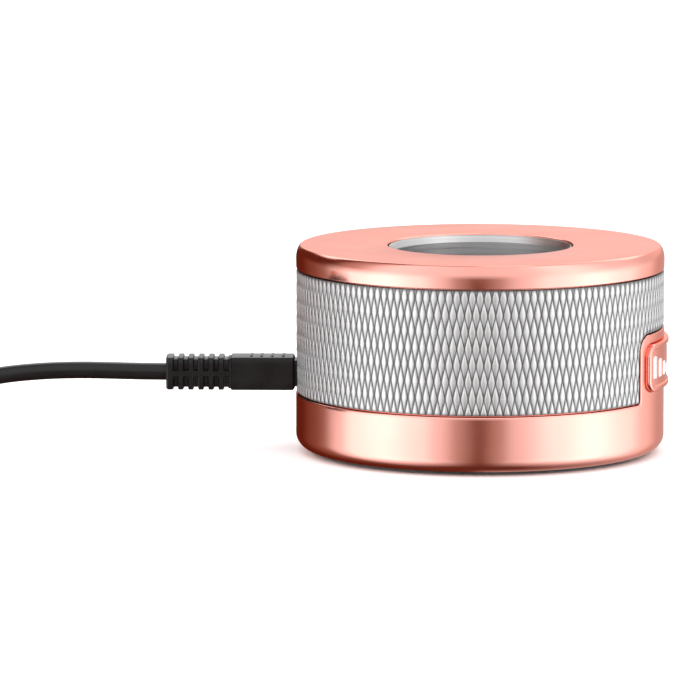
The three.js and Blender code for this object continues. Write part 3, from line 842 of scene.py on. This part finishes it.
def mark_edge(angle, z):
    x, up = across(angle), z - BADGE_MIDDLE_Z
    nearest = to_polygon(x, up, BOLT)
    for middle, half_height in BARS:
        for side in (-1, 1):
            bar = to_round_rectangle(x - side * middle, up + BARS_FOOT - half_height,
                                     BAR_HALF_WIDTH, -half_height, half_height, BAR_CORNER)
            nearest = np.minimum(nearest, bar)
    return nearest


# %% Strike the badge
FIELD_R, RIM_R, BACK_R = 45.6, 46.1, 44.6
RIM_WIDTH, BADGE_LIP = 1.25, 0.45
RIM_SLOPE, MARK_SLOPE = 0.35, 0.22
MARK_RISE = 0.32


def step_up(distance, width):
    """0 outside an edge and 1 inside it, with a soft shoulder of this width."""
    t = np.clip(0.5 - distance / width, 0, 1)
    return t * t * (3 - 2 * t)


def badge_surface(angle, z):
    field = step_up(badge_edge(angle, z, -RIM_WIDTH), RIM_SLOPE)
    mark = MARK_RISE * step_up(mark_edge(angle, z), MARK_SLOPE)
    return RIM_R - (RIM_R - FIELD_R) * field + mark


badge_half_angle = math.asin(BADGE_HALF / OUTER_R) + 0.004
badge_levels = np.linspace(BADGE_LOW - 0.1, BADGE_HIGH + 0.1, 110)
badge_net = net(340, badge_levels, -badge_half_angle, badge_half_angle)
badge_skin = skin(*badge_net, badge_edge, badge_surface, BADGE_LIP, BACK_R)
badge = place_piece("badge_plate", *badge_skin, "rose_gold", "base", ["badge"], sharp=60,
                    tidy=False)

# %% Silver for the mark
badge.data.materials.append(silver.material)
for face in badge.data.polygons:
    x, y, z = np.array(face.center) / MM
    face.material_index = int(mark_edge(np.array([math.atan2(x, -y)]), np.array([z]))[0] < 0.05)
print("silver faces:", sum(face.material_index for face in badge.data.polygons))


# %% [markdown]
# ## Inside the well
# The black block in the floor of the well guides two gold pins. Each pin is pushed up by a
# spring and gives way by 1.5 mm when the trimmer stands on it. Pin and barrel could be one
# turned piece if they stood still, but the pin rides on a moving body of its own, so they are
# made apart. The block is a plain moulding, and its CAD solid is shown as it is.

# %% Barrels and pins
def moved(shape, x=0.0, y=0.0, z=0.0):
    points, faces = shape
    return points + np.array([x, y, z]), faces


AXIS = 0.001
CONTACTS = (("left", -6.5), ("right", 6.5))
PIN_R, PIN_TOP = 1.3, 23.2

barrel_outline = soften([
    (2.05, 11.4, 0), (2.6, 11.4, 0), (2.6, 20.9, 0.25), (1.6, 20.9, 0.15), (1.6, 20, 0),
    (2.05, 20, 0),
])
tip = [(PIN_R * math.cos(t), PIN_TOP - PIN_R + PIN_R * math.sin(t))
       for t in np.linspace(0, math.pi / 2, 9)[:-1]]
pin_outline = np.array([(AXIS, 16.2), (0.8, 16.2), (0.8, 17.9), (1.75, 17.9), (1.75, 19.7),
                        (PIN_R, 19.7), *tip, (AXIS, PIN_TOP)])
for side, x in CONTACTS:
    place_piece("barrel_" + side, *moved(turned(barrel_outline, 48), x), "contact_metal", "base",
                ["contact_barrel_" + side])
    place_piece("pin_" + side, *moved(turned(pin_outline, 40), x), "contact_metal",
                "contact_" + side, ["contact_pin_" + side])


# %% [markdown]
# The springs shorten as the pins go down. A Screw modifier could draw the coil, but a tube along a
# helix gives closed ends and an even wire. Each spring is given a mesh of its own.

# %% Contact springs
def tube_mesh(line, radius, sides=10):
    """A closed tube of round section along a line of points."""
    line = np.asarray(line, float)
    ahead = np.gradient(line, axis=0)
    ahead /= np.linalg.norm(ahead, axis=1)[:, None]
    side = np.cross(ahead, [0, 0, 1.0])
    side /= np.linalg.norm(side, axis=1)[:, None]
    up = np.cross(side, ahead)
    turn = np.arange(sides) * math.tau / sides
    arms = np.cos(turn)[:, None] * side[:, None] + np.sin(turn)[:, None] * up[:, None]
    points = line[:, None] + radius * arms
    return points.reshape(-1, 3), tube_faces(len(line), sides)


SPRING_R, WIRE_R, COILS = 1.35, 0.24, 5
SPRING_SEAT, SPRING_RISE = 11.7, 5.4
for side, x in CONTACTS:
    t = np.linspace(0, 1, 140)
    turn = t * COILS * math.tau
    height = SPRING_SEAT + 0.25 + SPRING_RISE * (t - 0.05 * np.sin(t * math.tau))
    helix = np.stack([SPRING_R * np.cos(turn) + x, SPRING_R * np.sin(turn), height], -1)
    spring = place_piece("spring_" + side, *tube_mesh(helix, WIRE_R), "screw_steel", "base",
                         ["contact_spring_" + side])
    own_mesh(spring)


# %% [markdown]
# ## The plug
# The lead ends in a square moulded plug with broken corners, and four small ribs on top show
# which way up it goes in. A bevelled cube would do for its body, but plug and sleeve have to
# match where they meet, so both are lofted: each station along the axis is a rounded square of
# its own size.

# %% Rounded square sections along the plug
SQUARENESS = 6


def square_section(half, corner, count=64):
    """A rounded square around the plug's axis, as x and z."""
    turn = np.arange(count) * math.tau / count
    reach = 1 / np.maximum(np.abs(np.cos(turn)), np.abs(np.sin(turn)))
    x, z = np.cos(turn) * reach * (half - corner), np.sin(turn) * reach * (half - corner)
    nx = np.sign(np.cos(turn)) * np.abs(np.cos(turn)) ** SQUARENESS
    nz = np.sign(np.sin(turn)) * np.abs(np.sin(turn)) ** SQUARENESS
    size = np.hypot(nx, nz)
    return np.stack([x + corner * nx / size, z + corner * nz / size], -1)


def loft(stations):
    """Joins sections of (y, x-z points) into a closed tube."""
    count = len(stations[0][1])
    points = [np.stack([s[:, 0], np.full(count, y), s[:, 1] + PLUG_Z], -1) for y, s in stations]
    return np.vstack(points), tube_faces(len(stations), count)


# %% Plug with its nose and four ribs
PLUG_HALF, PLUG_START, PLUG_END, CHAMFER = 4.15, 45.3, 61.1, 0.4
NOSE_HALF, NOSE_START, NOSE_END = 3.3, 34.6, 45.9
RIBS = [47.8, 50.5, 53.1, 55.6]
RIB_HALF, RIB_FOOT, RIB_RISE = 2.6, 0.75, 0.32
plug_stations = [(y, square_section(PLUG_HALF - inset, 0.5)) for y, inset in (
    (PLUG_START, CHAMFER), (PLUG_START + 0.15, 0.3), (PLUG_START + CHAMFER, 0.0),
    (PLUG_END - CHAMFER, 0.0), (PLUG_END - 0.15, 0.35), (PLUG_END, CHAMFER))]
nose_stations = [(y, square_section(NOSE_HALF - inset, 0.4)) for y, inset in (
    (NOSE_START, 0.3), (NOSE_START + 0.3, 0.0), (NOSE_END, 0.0))]


def rib(y):
    """A small wedge on the plug's top face: upright in front, sloping behind."""
    z = PLUG_HALF - 0.05 + PLUG_Z
    side = [(0, 0), (RIB_FOOT, 0), (RIB_FOOT, 0.08), (0.08, RIB_RISE), (0, RIB_RISE)]
    points = [(x, y + dy, z + dz) for x in (-RIB_HALF, RIB_HALF) for dy, dz in side]
    return np.array(points), tube_faces(2, len(side))


plug_shapes = joined(loft(plug_stations), loft(nose_stations), *[rib(y) for y in RIBS])
plug = place_piece("plug_shell", *plug_shapes, "cord_black", "plug", ["plug_body"], sharp=30)


# %% [markdown]
# Behind the plug a flexible sleeve is cut by six grooves, so it bends evenly, and a spine at
# mid-height ties its ribs together. The grooves could be cut by six boolean boxes. In a loft
# they come for free: the section is drawn in wherever there is a groove, and its walls slope a
# little, as they must to leave a mould.

# %% Flexible sleeve with grooves
SLEEVE_START, SLEEVE_END = 61.18, 76.7
FIRST_GROOVE, GROOVES, GROOVE_PITCH, GROOVE_WIDTH = 62.0, 6, 2.47, 1.1
SPINE_HALF = 0.8
CORE_HALF_ACROSS, CORE_HALF_UP = 2.75, 3.6


def groove_depth(y):
    """1 inside a groove, 0 on a rib."""
    deepest = 0.0
    for k in range(GROOVES):
        past_edge = abs(y - FIRST_GROOVE - k * GROOVE_PITCH) - GROOVE_WIDTH / 2
        deepest = max(deepest, float(step_up(np.array(past_edge), 0.3)))
    return deepest


sleeve_stations = []
rib_section = square_section(PLUG_HALF, 1.0, 96)
core_section = square_section(CORE_HALF_UP, 0.9, 96)
core_section[:, 0] *= CORE_HALF_ACROSS / CORE_HALF_UP
for y in np.linspace(SLEEVE_START, SLEEVE_END, 200):
    end = max(0.0, 0.35 - min(y - SLEEVE_START, SLEEVE_END - y)) * 0.9
    depth = groove_depth(y) * step_up(SPINE_HALF - np.abs(rib_section[:, 1]), 0.3)[:, None]
    depth = np.where(np.abs(rib_section[:, :1]) < PLUG_HALF - 0.9, groove_depth(y), depth)
    section = rib_section * (1 - depth) + core_section * depth
    sleeve_stations.append((y, section * (1 - end / PLUG_HALF)))
sleeve = place_piece("flex_sleeve", *loft(sleeve_stations), "cord_black", "plug",
                     ["plug_strain_relief"], sharp=30)


# %% [markdown]
# ## The far end
# The coil is held by a strap, and the lead ends in a plain wall adapter with two blades. They
# lie behind the base, and only other views show them. The strap could be a solidified ribbon,
# but a softened outline given its thickness in the same step needs no modifier.

# %% Strap round the coil
def flat_band(outline, y0, y1, thick):
    """A closed strap: an outline in X and Z, offset outward by its thickness, between y0 and y1."""
    outline = np.asarray(outline)
    tangent = np.roll(outline, -1, axis=0) - np.roll(outline, 1, axis=0)
    outward = np.stack([tangent[:, 1], -tangent[:, 0]], -1)
    outward /= np.linalg.norm(outward, axis=1)[:, None]
    outer, count = outline + outward * thick, len(outline)
    rims = [(outline, y0), (outer, y0), (outer, y1), (outline, y1)]
    points = np.vstack([np.stack([o[:, 0], np.full(count, y), o[:, 1]], -1) for o, y in rims])
    return points, wall(len(rims), count, closed=True)


STRAP_THICK, STRAP_INSET, STRAP_CORNER = 0.55, 0.6, 2.2
tie_low, tie_high = low("cord_tie"), high("cord_tie")
x0, x1 = tie_low[0] + STRAP_INSET, tie_high[0] - STRAP_INSET
z0, z1 = STRAP_INSET, tie_high[2] - STRAP_INSET
strap_outline = soften([(x, z, STRAP_CORNER) for x, z in ((x0, z0), (x1, z0), (x1, z1), (x0, z1))],
                       steps=8)
strap_shape = flat_band(strap_outline, tie_low[1], tie_high[1], STRAP_THICK)
strap = place_piece("coil_strap", *strap_shape, "black_rubber", "plug", ["cord_tie"])


# %% [markdown]
# The adapter's housing is two moulded halves that meet in a fine seam. One box with a groove
# cut round it would look the same from afar. Two boxes with slightly broken edges at the seam
# catch the light as real halves do.

# %% Adapter housing
UPRIGHT_EDGES = 5
for half, top_edge, bottom_edge in (("front", 1.6, 0.25), ("back", 0.25, 2.5)):
    node = "adapter_%s_shell" % half
    shell = rounded_box(low(node), high(node), UPRIGHT_EDGES, top_edge, bottom_edge)
    place_piece("adapter_" + half, *shell, "adapter_plastic", "plug", [node], sharp=35)


# %% Blades with their holes
BLADE_HOLE_R, HOLE_FROM_TIP = 1.5, 4.5


def blade_shape(lowest, highest):
    """A flat blade with a rounded tip and the usual hole near it."""
    (x0, y0, z0), (x1, y1, z1) = lowest, highest
    outline = soften([(y0, z0, 0), (y1, z0, 0), (y1, z1, 1.2), (y0, z1, 1.2)], steps=6)
    middle = np.array([(y0 + y1) / 2, z1 - HOLE_FROM_TIP])
    turn = np.arctan2(outline[:, 1] - middle[1], outline[:, 0] - middle[0])
    hole = middle + BLADE_HOLE_R * np.stack([np.cos(turn), np.sin(turn)], -1)
    loops = [(x0, outline), (x0, hole), (x1, hole), (x1, outline)]
    points = np.vstack([np.c_[np.full(len(loop), x), loop] for x, loop in loops])
    return points, wall(len(loops), len(outline), closed=True)


for side in ("left", "right"):
    node = "adapter_blade_" + side
    place_piece("blade_" + side, *blade_shape(low(node), high(node)), "screw_steel", "plug", [node])

# %% Ribbed sleeve where the lead enters the adapter
relief_low, relief_high = low("adapter_strain_relief"), high("adapter_strain_relief")
relief_length = relief_high[1] - relief_low[1]
FLANGE_R, NECK_R = 4.4, 3.3
relief_outline = [(AXIS, 0), (2.5, 0), (2.9, 0.4)]
for k in range(6):
    start, outer = 2 + k * 2.6, 3.1 + 0.2 * k
    relief_outline += [(outer, start), (outer - 0.6, start + 0.35), (outer - 0.6, start + 1.15),
                       (outer + 0.1, start + 1.5)]
relief_outline += [(FLANGE_R, 19.5), (FLANGE_R, 19.7), (NECK_R, 19.7), (NECK_R, 22.5),
                   (FLANGE_R, 22.5), (FLANGE_R, relief_length), (AXIS, relief_length)]
relief_points, relief_faces = turned(np.array(relief_outline), 48)
relief_middle = (relief_low + relief_high) / 2
relief_points = relief_points[:, [0, 2, 1]] + [relief_middle[0], relief_low[1], relief_middle[2]]
relief = place_piece("adapter_relief", relief_points, relief_faces, "cord_black", "plug",
                     ["adapter_strain_relief"], sharp=25)

# %% [markdown]
# ## Underneath
# Four rubber feet sit in recesses in a black plate, between four screws with crossed slots.
# Feet and screws are turned, as they are in life. The slots are not cut out of the heads: a flat
# black cross that lies in the head's face is painted shade where the slots' hollows would be dark.
# It reads the same at this size and keeps the mesh clean.

# %% Feet and screws
FOOT_R, FOOT_TALL = 5, 1.6
HEAD_R, HEAD_TALL, SHANK_R = 2.4, 1.1, 1
SLOT_LONG, SLOT_WIDE = 1.3, 0.28
foot = soften([(AXIS, 0, 0), (FOOT_R, 0, 0.5), (FOOT_R, FOOT_TALL, 0.1), (AXIS, FOOT_TALL, 0)])
tread = [(AXIS, 0.35), (2.2, 0.35), (2.5, 0.0), (3.2, 0.0), (3.4, 0.3), (3.7, 0.3), (3.9, 0.0)]
foot = np.vstack([tread, foot[1:]])
screw = soften([(AXIS, 0, 0), (HEAD_R, 0, 0.7), (HEAD_R, HEAD_TALL, 0.05), (SHANK_R, HEAD_TALL, 0),
                (SHANK_R, 8, 0.4), (AXIS, 9, 0)])
cross = joined(rounded_box((-SLOT_LONG, -SLOT_WIDE, -0.02), (SLOT_LONG, SLOT_WIDE, 0.02), 0.1),
               rounded_box((-SLOT_WIDE, -SLOT_LONG, -0.021), (SLOT_WIDE, SLOT_LONG, 0.019), 0.1))
for number in range(1, 5):
    node = "foot_%d" % number
    x, y, _ = (low(node) + high(node)) / 2
    place_piece("rubber_foot_%d" % number, *moved(turned(foot, 64), x, y), "black_rubber", "base",
                [node])
    node = "base_screw_%d" % number
    x, y, _ = (low(node) + high(node)) / 2
    z = low(node)[2]
    place_piece("plate_screw_%d" % number, *moved(turned(screw, 40), x, y, z), "screw_steel",
                "base", [node])
    # painted shade: a flat black cross stands for the dark hollows of the head's slots
    place_piece("screw_slot_%d" % number, *moved(cross, x, y, z), "black_plastic", "base")

# %% [markdown]
# The adapter would show as a dark patch in the polished body. In a studio it would be carried
# out of the way. Here it stays in place and is only hidden from mirror-like rays, because its
# real place on the table matters to whoever reuses the part.

# %% Keep the far end out of the metal's reflections
ADAPTER_PIECES = ["adapter_front", "adapter_back", "blade_left", "blade_right"]
for name in [*ADAPTER_PIECES, "adapter_relief", "coil_strap"]:
    bpy.data.objects[name].visible_glossy = False
print("hidden from reflections:", len(ADAPTER_PIECES) + 2, "pieces")

# %% [markdown]
# A real lead bends, and a rigid mesh can't say so.


# %% [markdown]
# ## Floor and light
# The floor is one pale sheet, a hair below the feet so that the two never share a surface.
# Polished metal is a mirror: it shows whatever surrounds it. Lamps alone would leave it nearly
# black. So the room itself is drawn as a studio would be, with two tall bright screens beside
# the camera, a dark gap between them and a dark flag at the far left. It is built of rings, one
# above another: a low ring, a middle one and a ceiling in front, and a low ring under a bright
# ceiling behind.

# %% Pale floor
FLOOR_BELOW_FEET = 0.05
bpy.ops.mesh.primitive_plane_add(size=14, location=(0, 0, -FLOOR_BELOW_FEET * MM))
floor = bpy.context.object
floor.name = "floor"
pale = Finish("pale_floor", (0.92, 0.92, 0.92), roughness=0.9)
pale.bump(pale.noise(60, detail=2), 0.05, 0.1)
floor.data.materials.append(pale.material)
floor.visible_glossy = False

# %% Helpers for the room's nodes
world = bpy.data.worlds.new("studio")
bpy.context.scene.world = world
world.use_nodes = True
tree = world.node_tree
tree.nodes.clear()


def world_node(kind, **values):
    made = tree.nodes.new(kind)
    for name, value in values.items():
        setattr(made, name, value)
    return made


def ramp(signal, stops):
    """A colour ramp over a 0 to 1 signal."""
    made = world_node("ShaderNodeValToRGB")
    made.color_ramp.interpolation = "EASE"
    elements = made.color_ramp.elements
    while len(elements) < len(stops):
        elements.new(0.5)
    for element, (at, colour) in zip(elements, stops):
        element.position, element.color = at, (*colour, 1)
    tree.links.new(signal, made.inputs["Fac"])
    return made.outputs["Color"]


def share_between(value, lowest, highest):
    """0 where the value is lowest and 1 where it is highest."""
    made = world_node("ShaderNodeMapRange")
    made.inputs["From Min"].default_value = lowest
    made.inputs["From Max"].default_value = highest
    tree.links.new(value, made.inputs["Value"])
    return made.outputs["Result"]


def blend(share, first, second):
    """Mixes two colours, each a tuple or the output of a node."""
    made = world_node("ShaderNodeMix", data_type="RGBA")
    tree.links.new(share, made.inputs[0])
    for value, socket in ((first, made.inputs[6]), (second, made.inputs[7])):
        if isinstance(value, tuple):
            socket.default_value = (*value, 1)
        else:
            tree.links.new(value, socket)
    return made.outputs[2]


def grey(value):
    return (value, value, value)


# %% Which way a ray looks: the height of its direction, and its heading round the room
direction = world_node("ShaderNodeSeparateXYZ")
tree.links.new(world_node("ShaderNodeTexCoord").outputs["Generated"], direction.inputs["Vector"])
flip = world_node("ShaderNodeMath", operation="MULTIPLY")
flip.inputs[1].default_value = -1
tree.links.new(direction.outputs["X"], flip.inputs[0])
compass = world_node("ShaderNodeMath", operation="ARCTAN2")
tree.links.new(direction.outputs["Y"], compass.inputs[0])
tree.links.new(flip.outputs["Value"], compass.inputs[1])
round_share = share_between(compass.outputs["Value"], -math.pi, math.pi)


def heading(degrees):
    """Share of the turn: 0.5 is towards the camera, more is on the camera's left."""
    return 0.5 + degrees / 360


print("towards the camera:", heading(0))

# %% Screens, gap and flag, as rings round the room
SCREEN = 2.6
GAP_BROWN, FLAG_BROWN = (0.2, 0.075, 0.045), (0.13, 0.03, 0.015)
SOFT_BROWN = (0.56, 0.44, 0.38)
around = ramp(round_share, [
    (heading(-180), grey(0.6)), (heading(-150), grey(0.7)), (heading(-124), grey(1.25)),
    (heading(-105), grey(2.0)), (heading(-75), grey(SCREEN)), (heading(-48), grey(2.0)),
    (heading(-22), grey(1.1)), (heading(-12), SOFT_BROWN), (heading(1), GAP_BROWN),
    (heading(13), SOFT_BROWN), (heading(24), grey(1.15)), (heading(39), grey(1.95)),
    (heading(62), grey(SCREEN)), (heading(86), grey(2.2)), (heading(100), grey(1.2)),
    (heading(116), (0.36, 0.22, 0.17)), (heading(128), (0.26, 0.12, 0.08)),
    (heading(150), FLAG_BROWN), (heading(180), FLAG_BROWN),
])
middle = ramp(round_share, [
    (heading(-180), grey(1.1)), (heading(-165), grey(1.1)), (heading(-130), grey(0.95)),
    (heading(-100), grey(1.2)), (heading(-60), grey(1.9)), (heading(-25), grey(1.25)),
    (heading(0), grey(1.15)), (heading(25), grey(1.25)), (heading(60), grey(1.5)),
    (heading(90), (0.6, 0.42, 0.36)), (heading(110), FLAG_BROWN), (heading(160), FLAG_BROWN),
    (heading(172), grey(1.1)), (heading(180), grey(1.1)),
])
ceiling = ramp(round_share, [
    (heading(-180), grey(0.8)), (heading(-80), grey(0.75)), (heading(-20), (0.45, 0.3, 0.26)),
    (heading(30), (0.22, 0.09, 0.06)), (heading(80), FLAG_BROWN), (heading(180), FLAG_BROWN),
])
print("brightest screen:", SCREEN)

# %% Stack the rings by height
FLOOR_BROWN, CEILING_LIGHT = (0.15, 0.05, 0.03), 2.4
EVEN_LIGHT, BACKDROP = 1.8, 1.0
height, depth = direction.outputs["Z"], direction.outputs["X"]
low_ring = blend(share_between(height, -0.97, -0.55), FLOOR_BROWN, around)
front = blend(share_between(height, -0.1, 0.22), low_ring, middle)
front = blend(share_between(height, 0.82, 0.98), front, ceiling)
back = blend(share_between(height, 0.0, 0.1), low_ring, middle)
back = blend(share_between(height, 0.4, 0.52), back, grey(CEILING_LIGHT))
room = blend(share_between(depth, 0.35, 0.55), front, back)

# %% Mirror rays see the room, soft light is even, and the camera sees a white backdrop
seen = world_node("ShaderNodeLightPath")
lit = blend(seen.outputs["Is Diffuse Ray"], room, grey(EVEN_LIGHT))
shown = blend(seen.outputs["Is Camera Ray"], lit, grey(BACKDROP))
background = world_node("ShaderNodeBackground")
tree.links.new(shown, background.inputs["Color"])
room_out = world_node("ShaderNodeOutputWorld")
tree.links.new(background.outputs["Background"], room_out.inputs["Surface"])
print("world nodes:", len(tree.nodes))

# %% A large soft light overhead
LAMP_PLACE, LAMP_AIM = Vector((-0.2, 0.1, 1.6)), Vector((0, 0.05, 0))
lamp_data = bpy.data.lights.new("overhead", "AREA")
lamp_data.shape, lamp_data.size, lamp_data.energy = "DISK", 1.4, 3
lamp = bpy.data.objects.new("overhead", lamp_data)
lamp.location = LAMP_PLACE
lamp.rotation_euler = (LAMP_AIM - LAMP_PLACE).to_track_quat("-Z", "Y").to_euler()
bpy.context.scene.collection.objects.link(lamp)
print("lamp: %.1f m across, %.1f W" % (lamp_data.size, lamp_data.energy))
